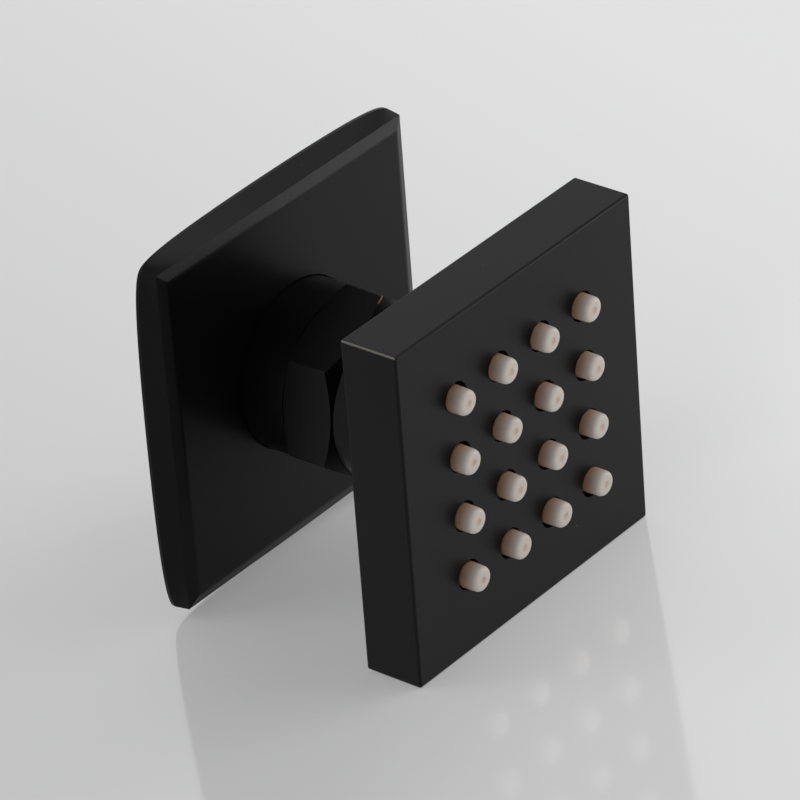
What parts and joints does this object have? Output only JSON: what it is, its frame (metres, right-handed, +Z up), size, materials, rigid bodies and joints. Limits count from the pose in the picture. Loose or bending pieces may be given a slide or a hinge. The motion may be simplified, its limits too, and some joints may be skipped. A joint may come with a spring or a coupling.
{
  "type": "shower body jet",
  "caption": "Wall-mounted square body jet with a ball-jointed flat spray head, silicone nozzles and a square escutcheon.",
  "frame": {"origin": "centre of the inlet thread, in the plane where its washer seals on the fitting in the wall; the wall's surface is 1.5 mm in front of it", "axes": "+Y along the inlet thread into the wall, -Y is where the spray goes, +Z up, +X to the right of someone who faces the wall"},
  "size_m": [0.0556, 0.0577, 0.0556],
  "materials": {
    "black_coating": "matte black coating on brass",
    "bare_brass": "turned, left bare",
    "cream_silicone": "moulded silicone, satin",
    "black_rubber": "moulded rubber",
    "white_polymer": "turned low-friction polymer",
    "grey_polymer": "moulded polymer",
    "stainless_steel": "stainless steel"
  },
  "bodies": {
    "body": {"swivel_body": "black_coating", "inlet_washer": "black_rubber", "flow_restrictor": "white_polymer", "restrictor_o_ring": "black_rubber", "strainer_ring": "black_rubber", "strainer_screen": "stainless_steel", "seal_cushion": "black_rubber", "ball_seat_ring": "white_polymer", "ring_nut": "black_coating"},
    "escutcheon_ring": {"escutcheon_o_ring": "black_rubber"},
    "escutcheon": {"escutcheon": "black_coating"},
    "seal": {"ball_seal": "white_polymer"},
    "ball": {"ball_stem": "bare_brass"},
    "head": {"head_shell": "black_coating", "nozzle_mat": "cream_silicone", "mat_retainer": "grey_polymer", "chamber_gasket": "black_rubber", "head_cover": "black_coating", "cover_screws": "stainless_steel", "stem_o_ring": "black_rubber"}
  },
  "joints": [
    {"name": "escutcheon_slide", "type": "slide", "parent": "body", "child": "escutcheon_ring", "axis": [0, -1, 0], "range_m": [0, 0.0069]},
    {"name": "escutcheon_turn", "type": "hinge", "parent": "escutcheon_ring", "child": "escutcheon", "pos_m": [0, -0.00315, 0], "axis": [0, -1, 0], "continuous": true},
    {"name": "tilt_direction", "type": "hinge", "parent": "body", "child": "seal", "pos_m": [0, -0.0219, 0], "axis": [0, -1, 0], "continuous": true},
    {"name": "head_tilt", "type": "hinge", "parent": "seal", "child": "ball", "pos_m": [0, -0.0219, 0], "axis": [1, 0, 0], "range_deg": [-15, 15]},
    {"name": "head_turn", "type": "hinge", "parent": "ball", "child": "head", "pos_m": [0, -0.0219, 0], "axis": [0, -1, 0], "continuous": true}
  ]
}
